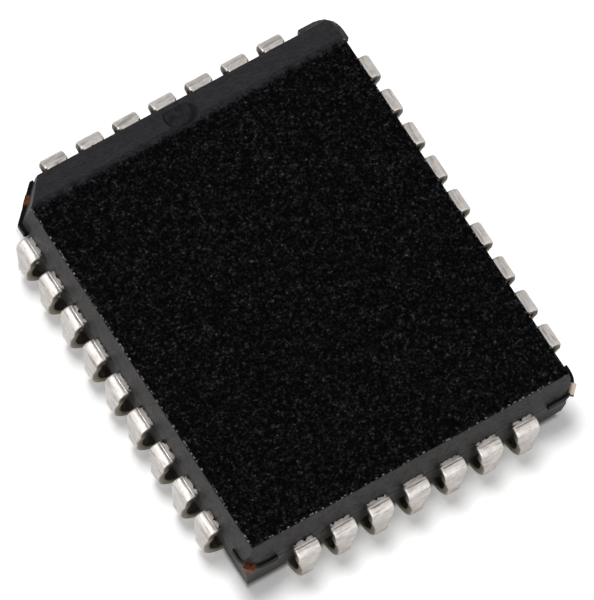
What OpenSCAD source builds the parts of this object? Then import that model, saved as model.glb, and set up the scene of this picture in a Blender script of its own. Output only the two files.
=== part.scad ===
// Plastic leaded chip carrier: a moulded chip with J-bent leads on four sides.
// Millimetres. The leads stand on Z = 0, the pin 1 side faces +Y, pins count
// counter-clockwise seen from above.

/* [Lead rows] */
// Distance between neighbouring leads
pitch = 1.27; // [1.1:0.01:1.5]
// Number of leads on the pin 1 side and on the side across from it
short_row = 7; // [5:2:9]
// Number of leads on each of the two long sides
long_row = 9; // [7:2:11]
// Distance from the middle of the last lead in a row to the body's corner
corner_margin = 1.88; // [1.7:0.01:2.2]

/* [Lead strip] */
// Thickness of the lead strip
lead_t = 0.25; // [0.2:0.01:0.3]
// Width of a lead where it leaves the body
shoulder_w = 0.68; // [0.55:0.01:0.74]
// Width of a lead outside the trimmed dam bar and round the upper bend
bend_w = 0.78; // [0.7:0.01:0.85]
// Width of the narrow lower leg and foot
foot_w = 0.45; // [0.35:0.01:0.55]
// Height of the lead's upper face at the body
shoulder_z = 2.35; // [2.1:0.01:2.5]
// Distance from the body's side to the outside of the leg
lead_reach = 0.49; // [0.45:0.01:0.65]
// Distance from the body's side to the line of the trimmed dam bar
dam_bar_at = 0.11; // [0.08:0.01:0.13]
// Outside radius of the upper bend
bend_r = 0.3; // [0.27:0.01:0.32]
// Outside radius of the foot
foot_r = 0.95; // [0.85:0.01:1.0]
// Angle by which the foot curls up past its lowest point
foot_curl = 65; // [50:1:75]
// Height at which the leg starts to narrow
taper_top_z = 1.85; // [1.7:0.01:1.95]
// Height at which the leg has narrowed to the foot's width
taper_low_z = 1.15; // [1.0:0.01:1.4]

/* [Moulded body] */
// Height of the top face
body_top = 3.37; // [3.2:0.01:3.7]
// Height of the underside above the seating plane
body_base = 0.51; // [0.4:0.01:0.6]
// Draft angle of the upper mould half
upper_draft = 11; // [5:0.5:12]
// Draft angle of the lower mould half
lower_draft = 7; // [3:0.5:9]
// Amount by which the lower mould half is larger at the parting plane
lower_step = 0.01; // [0.01:0.01:0.08]
// Amount by which the resin between the leads is set back from the upper half
web_step = 0.012; // [0.012:0.002:0.04]
// Leg of the chamfer on the pin 1 corner
pin1_chamfer = 1.06; // [1:0.01:1.3]
// Radius of the body's other three corners at the parting plane
corner_r = 0.45; // [0.3:0.01:0.6]
// Level run of the slope along the pin 1 side
slope_run = 0.95; // [0.6:0.01:1.1]
// Drop of the slope along the pin 1 side
slope_drop = 0.65; // [0.4:0.01:0.8]

/* [Pin 1 mark] */
// Radius of the mark's level floor
mark_r = 0.42; // [0.3:0.01:0.55]
// Depth of the mark's floor below the top face
mark_depth = 0.5; // [0.3:0.01:0.6]
// Angle of the mark's wall from upright
mark_wall = 30; // [20:1:40]
// Distance from the parting edge in to the mark's centre
mark_inset = 0.51; // [0.45:0.01:0.7]

/* [Corner fins] */
// Mean projection of the resin fins at the corners beyond the upper half
fin_out = 0.14; // [0.1:0.01:0.18]
// Distance by which the fins of the rounded corners lie off centre towards +X
fin_shift_x = 0.06; // [0:0.01:0.07]
// Distance by which the fins of the rounded corners lie off centre towards +Y
fin_shift_y = 0.04; // [0:0.01:0.07]
// Radius of a fin's corner
fin_r = 0.65; // [0.45:0.01:0.7]
// Distance by which the fins lie lower than the leads
fin_drop = 0.02; // [0.01:0.01:0.03]
// Distance from the middle of the last lead of a short row to the start of a fin
fin_start_short = 0.9; // [0.7:0.01:1]
// Distance from the middle of the last lead of a long row to the start of a fin
fin_start_long = 1.1; // [0.9:0.01:1.25]
// The same distance along the long row at the pin 1 corner
fin_start_pin1 = 0.5; // [0.45:0.01:0.7]

/* [Underside] */
// Clearance round a lead's foot in its pocket
pocket_gap = 0.12; // [0.08:0.01:0.16]
// Radius of the ejector pin marks
ejector_r = 0.8; // [0.5:0.05:1.2]
// Depth of the ejector pin marks
ejector_depth = 0.06; // [0.03:0.01:0.1]
// Distance between the two ejector pin marks
ejector_spacing = 5.6; // [3:0.1:7]

/* [Lead frame inside] */
// Length of the bonding fingers inside the body
finger_len = 2.6; // [2.3:0.05:2.8]
// Length of a finger's straight stretch just inside the body
finger_root = 0.43; // [0.3:0.01:0.5]
// Width of the bonding fingers at their tips
finger_tip_w = 0.4; // [0.3:0.01:0.45]
// Gap between the finger tips and the die paddle
paddle_gap = 0.45; // [0.3:0.01:0.6]
// Amount by which the paddle is set down below the leads
paddle_down = 0.25; // [0.1:0.01:0.35]
// Width of the tie bars that carry the paddle
tie_bar_w = 0.34; // [0.28:0.01:0.45]
// Distance from the meeting point of two sides out to the trimmed end of a tie bar
tie_bar_out = 0.01; // [0:0.01:0.04]

/* [Die] */
// Size of the die along X
die_x = 3.6; // [2.6:0.1:4.2]
// Size of the die along Y
die_y = 5.2; // [3.6:0.1:6]
// Thickness of the die
die_t = 0.35; // [0.25:0.01:0.4]
// Thickness of the bonding layer under the die
attach_t = 0.03; // [0.02:0.01:0.05]
// Amount by which the bonding layer shows round the die
attach_rim = 0.08; // [0.03:0.01:0.15]

/* [Bond wires] */
// Diameter of a bond wire
wire_d = 0.05; // [0.04:0.005:0.06]
// Diameter of a wire's neck above its bond on the die
neck_d = 0.07; // [0.065:0.005:0.09]
// Diameter of the bonds at both ends of a wire
bond_d = 0.12; // [0.1:0.01:0.14]
// Height of the bonds
bond_h = 0.04; // [0.035:0.005:0.05]
// Rise of a wire above its bond on the die
loop_h = 0.15; // [0.1:0.01:0.2]
// Distance from the die's edge in to the bonds on it
pad_inset = 0.14; // [0.1:0.01:0.2]
// Distance from a finger's tip out to the bond on it
stitch_at = 0.25; // [0.15:0.01:0.4]

/* [Hidden] */
$fn = 48;
// overlap that lets a cut pass right through a face
over = 0.1;
// depth to which the layer between the leads runs into each mould half
layer_lap = 0.04;
lead_count = 2 * (short_row + long_row);
shoulder_under = shoulder_z - lead_t;
// half sizes of the upper mould half at the parting plane
half_x = (short_row - 1) * pitch / 2 + corner_margin;
half_y = (long_row - 1) * pitch / 2 + corner_margin;
// length that reaches past the body in every direction
far = 2 * (half_x + half_y);
paddle_x = 2 * (half_x - finger_len - paddle_gap);
paddle_y = 2 * (half_y - finger_len - paddle_gap);
paddle_top = shoulder_z - paddle_down;
die_base = paddle_top + attach_t;
die_top = die_base + die_t;
// centre of the foot's curl, measured out from the body's side
foot_u = lead_reach - foot_r;
foot_inner_r = foot_r - lead_t;
bend_inner_r = bend_r - lead_t;

function lead_name(pin) = str("lead_", pin < 10 ? "0" : "", pin);

// Sides 0 to 3 are +Y, -X, -Y and +X. Pin 1 is the middle lead of side 0.
function row_size(side) = side % 2 == 0 ? short_row : long_row;
function side_start(side) = side == 0 ? 0 : side_start(side - 1) + row_size(side - 1);
function place_of(pin) = (pin - 1 + (short_row - 1) / 2) % lead_count;
function side_of(pin) = max([for (side = [0:3]) if (place_of(pin) >= side_start(side)) side]);
function row_half(side) = (row_size(side) - 1) * pitch / 2;
// distance of a lead from the middle of its side
function offset_of(pin) = row_half(side_of(pin)) - (place_of(pin) - side_start(side_of(pin))) * pitch;
function side_half(side) = side % 2 == 0 ? half_y : half_x;
function paddle_half(side) = (side % 2 == 0 ? paddle_x : paddle_y) / 2;
function die_half_along(side) = (side % 2 == 0 ? die_x : die_y) / 2;
function die_half_out(side) = (side % 2 == 0 ? die_y : die_x) / 2;
// the fingers draw together so that the row of tips is as wide as the paddle
function finger_draw(side) = (paddle_half(side) - finger_tip_w) / row_half(side);
function pad_draw(side) = (die_half_along(side) - 2 * pad_inset) / row_half(side);

// the same outline on the other side of X = 0, in the order that closes it
function mirrored(points) = [for (i = [len(points) - 1:-1:0]) [-points[i].x, points[i].y]];

// Puts a lead's own axes, X along the side and Y out of the body, on its side.
module at_lead(pin) {
    side = side_of(pin);
    rotate([0, 0, 90 * side])
        translate([offset_of(pin), side_half(side), 0])
            children();
}

// Flat part of a lead, seen from above: finger, shoulder and dam bar line.
module lead_blade(pin) {
    tip_x = offset_of(pin) * (finger_draw(side_of(pin)) - 1);
    half_plan = [[shoulder_w / 2, -finger_root], [shoulder_w / 2, dam_bar_at], [bend_w / 2, dam_bar_at],
                 [bend_w / 2, lead_reach - bend_r]];
    tip = [[tip_x - finger_tip_w / 2, -finger_len], [tip_x + finger_tip_w / 2, -finger_len]];
    translate([0, 0, shoulder_under])
        linear_extrude(lead_t)
            polygon(concat(tip, half_plan, mirrored(half_plan)));
}

// Ring of the strip's thickness about a point, used for both bends.
module strip_ring(outer_r, inner_r) {
    difference() {
        circle(outer_r);
        circle(inner_r);
    }
}

// Side view of the strip outside the shoulder: bend, leg and foot.
module leg_profile() {
    bend_z = shoulder_z - bend_r;
    intersection() {
        translate([lead_reach - bend_r, bend_z]) strip_ring(bend_r, bend_inner_r);
        translate([lead_reach - bend_r, bend_z]) square(bend_r);
    }
    translate([lead_reach - lead_t, foot_r]) square([lead_t, bend_z - foot_r]);
    translate([foot_u, foot_r])
        intersection() {
            strip_ring(foot_r, foot_inner_r);
            union() {
                translate([0, -foot_r]) square(foot_r);
                polygon([[0, 0], [0, -2 * foot_r], [-2 * foot_r * tan(foot_curl), -2 * foot_r]]);
            }
        }
}

// Front view of the strip outside the shoulder: it narrows down to the foot.
module leg_front() {
    half_front = [[foot_w / 2, -over], [foot_w / 2, taper_low_z], [bend_w / 2, taper_top_z],
                  [bend_w / 2, shoulder_z + over]];
    polygon(concat(half_front, mirrored(half_front)));
}

module bent_leg() {
    intersection() {
        rotate([90, 0, 90]) linear_extrude(bend_w + over, center = true) leg_profile();
        rotate([90, 0, 0]) linear_extrude(far, center = true) leg_front();
    }
}

module lead(pin) {
    color("#c9c6c0")
        at_lead(pin)
            union() {
                lead_blade(pin);
                bent_leg();
            }
}

// Outline of the body seen from above, moved outwards by a distance.
// The pin 1 corner is cut at 45 degrees, the others are rounded.
module plan_outline(out, round_r) {
    x = half_x + out;
    y = half_y + out;
    cut = pin1_chamfer + (2 - sqrt(2)) * out;
    difference() {
        polygon([[-x, -y], [x, -y], [x, y], [cut - x, y], [-x, y - cut]]);
        for (corner = [[-1, -1], [1, -1], [1, 1]])
            translate([corner.x * x, corner.y * y])
                rotate(atan2(corner.y, corner.x) - 45)
                    corner_cut(round_r);
    }
}

// Piece taken off a square corner at the origin to round it.
module corner_cut(round_r) {
    translate([-round_r, -round_r])
        difference() {
            square(round_r + over);
            circle(round_r);
        }
}

// Block with drafted sides between the parting plane and a top or bottom face.
// It leans in from the plan outline moved outwards by a distance.
module drafted_block(out, z_parting, z_face, draft) {
    lean = abs(z_face - z_parting) * tan(draft);
    x = half_x + out;
    y = half_y + out;
    corner = (half_x + half_y - pin1_chamfer) / sqrt(2) + out;
    intersection() {
        rotate([90, 0, 0])
            linear_extrude(far, center = true)
                polygon([[-x, z_parting], [x, z_parting], [x - lean, z_face], [lean - x, z_face]]);
        rotate([90, 0, 90])
            linear_extrude(far, center = true)
                polygon([[-y, z_parting], [y, z_parting], [y - lean, z_face], [lean - y, z_face]]);
        rotate([90, 0, 135])
            linear_extrude(far, center = true)
                polygon([[-far, z_parting], [corner, z_parting], [corner - lean, z_face], [-far, z_face]]);
    }
}

module upper_half() {
    slope_low_z = body_top - slope_drop;
    slope_low_y = half_y - (slope_low_z - shoulder_z) * tan(upper_draft);
    slope_rise = slope_drop / slope_run;
    cut_h = mark_depth + over;
    difference() {
        intersection() {
            drafted_block(0, shoulder_z, body_top, upper_draft);
            translate([0, 0, shoulder_z - over])
                linear_extrude(body_top)
                    plan_outline(0, corner_r);
        }
        // slope along the pin 1 side
        rotate([90, 0, 90])
            linear_extrude(far, center = true)
                polygon([[slope_low_y + far, slope_low_z - far * slope_rise],
                         [slope_low_y - slope_run - over, body_top + over * slope_rise],
                         [slope_low_y + far, body_top + far]]);
        // pin 1 mark
        translate([0, half_y - mark_inset, body_top - mark_depth])
            cylinder(h = cut_h, r1 = mark_r, r2 = mark_r + cut_h * tan(mark_wall));
    }
}

// Layer of resin between the leads, which runs into both mould halves.
module frame_layer() {
    translate([0, 0, shoulder_under - layer_lap])
        linear_extrude(lead_t + 2 * layer_lap)
            plan_outline(-web_step, corner_r);
}

module lower_half() {
    intersection() {
        drafted_block(lower_step, shoulder_under, body_base, lower_draft);
        translate([0, 0, body_base - over])
            linear_extrude(shoulder_z)
                plan_outline(lower_step, corner_r);
    }
}

// Fins where resin filled the lead frame's openings round the tie bars at the four corners.
// At the pin 1 corner the fin ends level with the pin 1 side.
module corner_fins() {
    start_x = row_half(0) + fin_start_short;
    translate([0, 0, shoulder_under - fin_drop])
        linear_extrude(lead_t)
            for (x_side = [-1, 1], y_side = [-1, 1]) {
                at_pin1 = x_side < 0 && y_side > 0;
                start_y = row_half(1) + (at_pin1 ? fin_start_pin1 : fin_start_long);
                reach_y = at_pin1 ? half_y - start_y : far;
                intersection() {
                    translate(at_pin1 ? [0, 0] : [fin_shift_x, fin_shift_y]) plan_outline(fin_out, fin_r);
                    translate([x_side * (start_x + far / 2), y_side * (start_y + reach_y / 2)])
                        square([far, reach_y], center = true);
                }
            }
}

// Pocket in the underside for one lead's foot, open to the body's side.
module foot_pocket() {
    tip_u = foot_u - foot_r * sin(foot_curl) - pocket_gap;
    tip_z = foot_r - foot_inner_r * cos(foot_curl) + pocket_gap;
    translate([-foot_w / 2 - pocket_gap, tip_u, -over])
        cube([foot_w + 2 * pocket_gap, lead_reach - tip_u, tip_z + over]);
}

module ejector_marks() {
    for (end = [-1, 1])
        translate([0, end * ejector_spacing / 2, body_base - over])
            cylinder(h = over + ejector_depth, r = ejector_r);
}

module body() {
    color("#1c1c1f")
        difference() {
            union() {
                upper_half();
                frame_layer();
                lower_half();
                corner_fins();
            }
            ejector_marks();
            for (pin = [1:lead_count]) {
                at_lead(pin) foot_pocket();
                at_lead(pin) lead_blade(pin);
            }
            die_paddle();
            die_attach();
            silicon_die();
            bond_wires();
        }
}

module die_paddle() {
    // lengths along the diagonals from the paddle's corners to the trimmed ends
    corner_reach = (paddle_gap + finger_len) * sqrt(2) + tie_bar_out;
    pin1_reach = corner_reach - pin1_chamfer / sqrt(2) + fin_out;
    color("#b87346")
        union() {
            translate([-paddle_x / 2, -paddle_y / 2, paddle_top - lead_t])
                cube([paddle_x, paddle_y, lead_t]);
            for (x_side = [-1, 1], y_side = [-1, 1])
                translate([x_side * paddle_x / 2, y_side * paddle_y / 2, 0])
                    rotate([0, 0, atan2(y_side, x_side)])
                        corner_bar(x_side < 0 && y_side > 0 ? pin1_reach : corner_reach);
        }
}

// One tie bar, starting inside the paddle's corner and stepping up to the leads.
module corner_bar(reach) {
    rotate([90, 0, 0])
        linear_extrude(tie_bar_w, center = true)
            polygon([
                [-tie_bar_w, paddle_top - lead_t], [paddle_gap, paddle_top - lead_t],
                [paddle_gap + paddle_down, shoulder_under], [reach, shoulder_under],
                [reach, shoulder_z], [paddle_gap + paddle_down, shoulder_z],
                [paddle_gap, paddle_top], [-tie_bar_w, paddle_top]
            ]);
}

module die_attach() {
    rim = 2 * attach_rim;
    color("#9a9ca0")
        translate([-(die_x + rim) / 2, -(die_y + rim) / 2, paddle_top])
            cube([die_x + rim, die_y + rim, attach_t]);
}

module silicon_die() {
    color("#4a4d58")
        translate([-die_x / 2, -die_y / 2, die_base])
            cube([die_x, die_y, die_t]);
}

// One wire in its lead's own axes: bond and neck on the die, wire, bond on the finger.
module bond_wire(pin) {
    side = side_of(pin);
    pad = [offset_of(pin) * (pad_draw(side) - 1), die_half_out(side) - pad_inset - side_half(side)];
    along = stitch_at / finger_len;
    stitch = [offset_of(pin) * (finger_draw(side) - 1) * (1 - along), stitch_at - finger_len];
    peak_z = die_top + bond_h + loop_h;
    fall = shoulder_z + wire_d / 2 - peak_z;
    span = norm(stitch - pad);
    translate([pad.x, pad.y, die_top]) cylinder(h = bond_h, d = bond_d);
    translate([stitch.x, stitch.y, shoulder_z]) cylinder(h = bond_h, d = bond_d);
    translate([pad.x, pad.y, die_top]) cylinder(h = bond_h + loop_h + wire_d, d = neck_d);
    translate([pad.x, pad.y, peak_z])
        rotate([0, 90 - atan2(fall, span), atan2(stitch.y - pad.y, stitch.x - pad.x)])
            cylinder(h = norm([span, fall]), d = wire_d);
}

module bond_wires() {
    color("#d9a93f")
        for (pin = [1:lead_count])
            at_lead(pin) bond_wire(pin);
}

body();
for (pin = [1:lead_count])
    lead(pin);
die_paddle();
die_attach();
silicon_die();
bond_wires();
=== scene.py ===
import math

import bmesh
import bpy
from mathutils import Matrix, Vector


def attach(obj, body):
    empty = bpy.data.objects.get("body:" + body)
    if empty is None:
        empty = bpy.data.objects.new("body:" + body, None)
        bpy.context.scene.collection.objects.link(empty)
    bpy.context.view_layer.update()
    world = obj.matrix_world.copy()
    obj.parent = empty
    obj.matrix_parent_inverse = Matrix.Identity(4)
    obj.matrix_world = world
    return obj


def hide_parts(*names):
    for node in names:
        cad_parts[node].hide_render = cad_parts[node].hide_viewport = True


# The look of a plastic leaded chip carrier: black moulded resin, tinned J-bent leads, copper tie bars.
# Sizes are in millimetres, as in the part's source, until a mesh is finished and scaled to metres.

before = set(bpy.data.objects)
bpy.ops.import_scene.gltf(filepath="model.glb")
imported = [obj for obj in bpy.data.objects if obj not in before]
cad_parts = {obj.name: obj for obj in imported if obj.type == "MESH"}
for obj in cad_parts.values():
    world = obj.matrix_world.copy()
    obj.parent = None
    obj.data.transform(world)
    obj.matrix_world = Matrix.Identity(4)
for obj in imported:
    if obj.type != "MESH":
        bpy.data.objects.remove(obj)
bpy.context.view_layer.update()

MM = 0.001
# Side of the cube that the blocks are cut from
LARGE = 60
# Steps of the quarter turn that rounds a moulded corner
CORNER_STEPS = 10

# Lead rows
PITCH = 1.27
SHORT_ROW = 7
LONG_ROW = 9
CORNER_MARGIN = 1.88
HALF_X = (SHORT_ROW - 1) * PITCH / 2 + CORNER_MARGIN
HALF_Y = (LONG_ROW - 1) * PITCH / 2 + CORNER_MARGIN

# Lead strip
LEAD_T = 0.25
SHOULDER_W = 0.68
BEND_W = 0.78
FOOT_W = 0.45
SHOULDER_Z = 2.35
SHOULDER_UNDER = SHOULDER_Z - LEAD_T
LEAD_REACH = 0.49
DAM_BAR_AT = 0.11
BEND_R = 0.3
FOOT_R = 0.95
FOOT_CURL = 65
TAPER_TOP_Z = 1.85
TAPER_LOW_Z = 1.15
FINGER_LEN = 2.6
FINGER_ROOT = 0.43
FINGER_TIP_W = 0.4
PADDLE_GAP = 0.45

# Moulded body, with the steps at the seam between the mould halves drawn finer than in the source
BODY_TOP = 3.37
BODY_BASE = 0.51
UPPER_DRAFT = 11
LOWER_DRAFT = 7
LOWER_STEP = 0.005
WEB_STEP = 0.003
LAYER_LAP = 0.01
PIN1_CHAMFER = 1.06
CORNER_R = 0.45
SLOPE_RUN = 0.95
SLOPE_DROP = 0.65
SLOPE_LOW_Z = BODY_TOP - SLOPE_DROP
SLOPE_LOW_Y = HALF_Y - (SLOPE_LOW_Z - SHOULDER_Z) * math.tan(math.radians(UPPER_DRAFT))
SLOPE_TOP_Y = SLOPE_LOW_Y - SLOPE_RUN
TOP_INSET = (BODY_TOP - SHOULDER_Z) * math.tan(math.radians(UPPER_DRAFT))
MARK_R = 0.42
MARK_DEPTH = 0.5
MARK_WALL = 30
MARK_INSET = 0.51
FIN_OUT = 0.14
FIN_SHIFT_X = 0.06
FIN_SHIFT_Y = 0.04
FIN_R = 0.65
FIN_DROP = 0.02
FIN_START_SHORT = 0.9
FIN_START_LONG = 1.1
FIN_START_PIN1 = 0.5
POCKET_GAP = 0.12
EJECTOR_R = 0.8
EJECTOR_DEPTH = 0.06
EJECTOR_SPACING = 5.6

# Rounding of the moulded and stamped edges
TOP_EDGE_R = 0.035
SLOPE_EDGE_R = 0.05
BASE_EDGE_R = 0.06
FIN_EDGE_R = 0.03
OUTER_EDGE_R = 0.055
INNER_EDGE_R = 0.02

# Resin smeared over the trimmed tie bar of the corner between the pin 1 side and the right side
SMEAR_T = 0.03
SMEAR_SPAN = 1.5
# Crease that the bending tool leaves across each shoulder
CREASE_W = 0.03
CREASE_DEPTH = 0.007
# Half the length over which a strip widens at the cut dam bar
DAM_BAR_EASE = 0.012
# How far inside the body's side the shoulder's stations start
WALL_START = 0.1
# Length left free of stations between the leg and the two bends
LEG_MARGIN = 0.06
# Where the noise that dents the plating starts
NOISE_START = 7.3


# Meshes in millimetres

def block_behind(planes):
    """Convex block: what is left of a large cube behind every (point, outward normal)."""
    block = bmesh.new()
    bmesh.ops.create_cube(block, size=LARGE)
    for point, normal in planes:
        everything = block.verts[:] + block.edges[:] + block.faces[:]
        cut = bmesh.ops.bisect_plane(block, geom=everything, dist=1e-6, plane_co=point,
                                     plane_no=normal, clear_outer=True)
        rim = [part for part in cut["geom_cut"] if isinstance(part, bmesh.types.BMEdge)]
        if rim:
            bmesh.ops.edgeloop_fill(block, edges=rim)
    bmesh.ops.recalc_face_normals(block, faces=block.faces[:])
    return block


def round_edges(block, radius, segments, wanted):
    """Rounds the edges of a block that pass a test on their two ends."""
    edges = [edge for edge in block.edges if wanted(edge.verts[0].co, edge.verts[1].co)]
    bmesh.ops.bevel(block, geom=edges, offset=radius, offset_type="OFFSET", segments=segments,
                    profile=0.5, affect="EDGES", clamp_overlap=True)


def object_from(block, name):
    mesh = bpy.data.meshes.new(name)
    block.to_mesh(mesh)
    block.free()
    made = bpy.data.objects.new(name, mesh)
    bpy.context.scene.collection.objects.link(made)
    return made


def made_plain(source, name):
    """The evaluated object as a plain mesh object. The source object is removed."""
    bpy.context.view_layer.update()
    depsgraph = bpy.context.evaluated_depsgraph_get()
    evaluated = source.evaluated_get(depsgraph)
    mesh = bpy.data.meshes.new_from_object(evaluated, preserve_all_data_layers=True, depsgraph=depsgraph)
    bpy.data.objects.remove(source)
    mesh.name = name
    made = bpy.data.objects.new(name, mesh)
    bpy.context.scene.collection.objects.link(made)
    return made


def combine(main, tool, operation):
    """Joins a tool to a solid, or cuts it out. The tool is used up."""
    name = main.name
    modifier = main.modifiers.new("combine", "BOOLEAN")
    modifier.operation = operation
    modifier.solver = "MANIFOLD"
    modifier.object = tool
    result = made_plain(main, name)
    bpy.data.objects.remove(tool)
    return result


def drafted_planes(out, z_parting, z_face, draft):
    """Planes of a block that leans in from its outline at the parting plane."""
    way = 1 if z_face > z_parting else -1
    level = math.cos(math.radians(draft))
    rise = math.sin(math.radians(draft)) * way
    x = HALF_X + out
    y = HALF_Y + out
    corner = (HALF_X + HALF_Y - PIN1_CHAMFER) / 2 + out / math.sqrt(2)
    slant = level / math.sqrt(2)
    return [
        ((0, 0, z_face), (0, 0, way)),
        ((0, 0, z_parting), (0, 0, -way)),
        ((x, 0, z_parting), (level, 0, rise)),
        ((-x, 0, z_parting), (-level, 0, rise)),
        ((0, y, z_parting), (0, level, rise)),
        ((0, -y, z_parting), (0, -level, rise)),
        ((-corner, corner, z_parting), (-slant, slant, rise)),
    ]


def corner_planes(x_side, y_side, out, radius):
    """Upright planes that round one plain corner of the outline moved outwards by a distance."""
    middle = Vector((x_side * (HALF_X + out - radius), y_side * (HALF_Y + out - radius), 0))
    planes = []
    for step in range(1, CORNER_STEPS):
        angle = math.radians(90 * step / CORNER_STEPS)
        outward = Vector((x_side * math.cos(angle), y_side * math.sin(angle), 0))
        planes.append((middle + radius * outward, outward))
    return planes


def plain_corner_planes(out):
    planes = []
    for x_side, y_side in ((-1, -1), (1, -1), (1, 1)):
        planes += corner_planes(x_side, y_side, out, CORNER_R)
    return planes


def turned(profile, centre, name, steps=72):
    """Closed solid of revolution from (radius, height) points that start and end on the axis."""
    block = bmesh.new()
    rings = []
    for radius, height in profile:
        if radius == 0:
            rings.append([block.verts.new(Vector(centre) + Vector((0, 0, height)))])
            continue
        ring = []
        for step in range(steps):
            angle = 2 * math.pi * step / steps
            place = Vector((radius * math.cos(angle), radius * math.sin(angle), height))
            ring.append(block.verts.new(Vector(centre) + place))
        rings.append(ring)
    for lower, upper in zip(rings, rings[1:]):
        for step in range(steps):
            after = (step + 1) % steps
            corners = [lower[step % len(lower)], lower[after % len(lower)],
                       upper[after % len(upper)], upper[step % len(upper)]]
            block.faces.new(list(dict.fromkeys(corners)))
    bmesh.ops.recalc_face_normals(block, faces=block.faces[:])
    return object_from(block, name)


def upper_half():
    planes = drafted_planes(0, SHOULDER_Z, BODY_TOP, UPPER_DRAFT)
    planes += plain_corner_planes(0)
    planes.append(((0, SLOPE_LOW_Y, SLOPE_LOW_Z), Vector((0, SLOPE_DROP, SLOPE_RUN)).normalized()))
    block = block_behind(planes)

    def on_slope_edge(one, other):
        return all(abs(end.y - SLOPE_TOP_Y) < 0.01 and end.z > BODY_TOP - 0.01 for end in (one, other))

    def near_top(one, other):
        return min(one.z, other.z) > SHOULDER_Z + 0.1 and not on_slope_edge(one, other)

    round_edges(block, SLOPE_EDGE_R, 4, on_slope_edge)
    round_edges(block, TOP_EDGE_R, 3, near_top)
    half = object_from(block, "upper_half")
    wall = math.tan(math.radians(MARK_WALL))
    floor_z = BODY_TOP - MARK_DEPTH
    fillet = 0.06
    top = MARK_DEPTH + 0.3
    profile = [(0, 0), (MARK_R - fillet, 0), (MARK_R - 0.3 * fillet, 0.1 * fillet),
               (MARK_R + wall * fillet, fillet), (MARK_R + wall * top, top), (0, top)]
    cutter = turned(profile, (0, HALF_Y - MARK_INSET, floor_z), "mark_cutter")
    return combine(half, cutter, "DIFFERENCE")


def lower_half():
    planes = drafted_planes(LOWER_STEP, SHOULDER_UNDER, BODY_BASE, LOWER_DRAFT)
    planes += plain_corner_planes(LOWER_STEP)
    block = block_behind(planes)
    round_edges(block, BASE_EDGE_R, 3, lambda one, other: max(one.z, other.z) < SHOULDER_UNDER - 0.1)
    return object_from(block, "lower_half")


def corner_fin(x_side, y_side):
    """Fin of resin at the leads' height, round the tie bar of one corner."""
    at_pin1 = (x_side, y_side) == (-1, 1)
    smear = SMEAR_T if (x_side, y_side) == (1, 1) else 0
    low_z = SHOULDER_UNDER - FIN_DROP
    high_z = SHOULDER_Z - FIN_DROP + smear
    outline = drafted_planes(FIN_OUT + smear / 2, low_z, high_z, 0)
    if not at_pin1:
        outline += corner_planes(x_side, y_side, FIN_OUT + smear / 2, FIN_R)
    shift = Vector((0, 0, 0)) if at_pin1 else Vector((FIN_SHIFT_X, FIN_SHIFT_Y, 0))
    planes = [(Vector(point) + shift, normal) for point, normal in outline]
    start_x = (SHORT_ROW - 1) * PITCH / 2 + FIN_START_SHORT
    start_y = (LONG_ROW - 1) * PITCH / 2 + (FIN_START_PIN1 if at_pin1 else FIN_START_LONG)
    planes.append(((x_side * start_x, 0, 0), (-x_side, 0, 0)))
    planes.append(((0, y_side * start_y, 0), (0, -y_side, 0)))
    if at_pin1:
        planes.append(((0, HALF_Y, 0), (0, 1, 0)))
    block = block_behind(planes)

    def on_rim(one, other):
        level = abs(one.z - other.z) < 0.01
        far_x = min(abs(one.x), abs(other.x)) > start_x + 0.01
        far_y = min(abs(one.y), abs(other.y)) > start_y + 0.01
        return level and far_x and far_y

    round_edges(block, FIN_EDGE_R, 2, on_rim)
    return object_from(block, "fin")


def frame_layer():
    """Resin between the leads, set back a little behind both mould halves."""
    planes = drafted_planes(-WEB_STEP, SHOULDER_UNDER - LAYER_LAP, SHOULDER_Z + LAYER_LAP, 0)
    planes += plain_corner_planes(-WEB_STEP)
    return object_from(block_behind(planes), "frame_layer")


def side_turn(side):
    """Angle of side 0 to 3: pin 1 side, left, far and right, counter-clockwise seen from above."""
    return math.radians(90 * side)


def row_size(side):
    return SHORT_ROW if side % 2 == 0 else LONG_ROW


def side_half(side):
    return HALF_Y if side % 2 == 0 else HALF_X


def underside_cutter():
    """Pockets for the 32 lead tips, as one tool."""
    foot_u = LEAD_REACH - FOOT_R
    curl = math.radians(FOOT_CURL)
    tip_u = foot_u - FOOT_R * math.sin(curl) - POCKET_GAP
    tip_z = FOOT_R - (FOOT_R - LEAD_T) * math.cos(curl) + POCKET_GAP
    half_w = FOOT_W / 2 + POCKET_GAP
    under = -0.1
    block = bmesh.new()
    for side in range(4):
        for place in range(row_size(side)):
            along = (place - (row_size(side) - 1) / 2) * PITCH
            low = Vector((along - half_w, side_half(side) + tip_u, under))
            high = Vector((along + half_w, side_half(side) + LEAD_REACH, tip_z))
            move = Matrix.Rotation(side_turn(side), 4, "Z") @ Matrix.Translation((low + high) / 2)
            size = Matrix.Diagonal((*(high - low), 1))
            bmesh.ops.create_cube(block, size=1, matrix=move @ size)
    return object_from(block, "pockets")


def finish_body(body, resin):
    """Gives the body its finish and clean shading."""
    mesh = body.data
    mesh.materials.clear()
    mesh.materials.append(resin)
    work = bmesh.new()
    work.from_mesh(mesh)
    bmesh.ops.remove_doubles(work, verts=work.verts[:], dist=1e-4)
    for face in work.faces:
        face.smooth = True
    work.to_mesh(mesh)
    work.free()
    mesh.set_sharp_from_angle(angle=math.radians(32))
    body.modifiers.new("even_normals", "WEIGHTED_NORMAL").keep_sharp = True
    return made_plain(body, "moulded_body")


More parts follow.
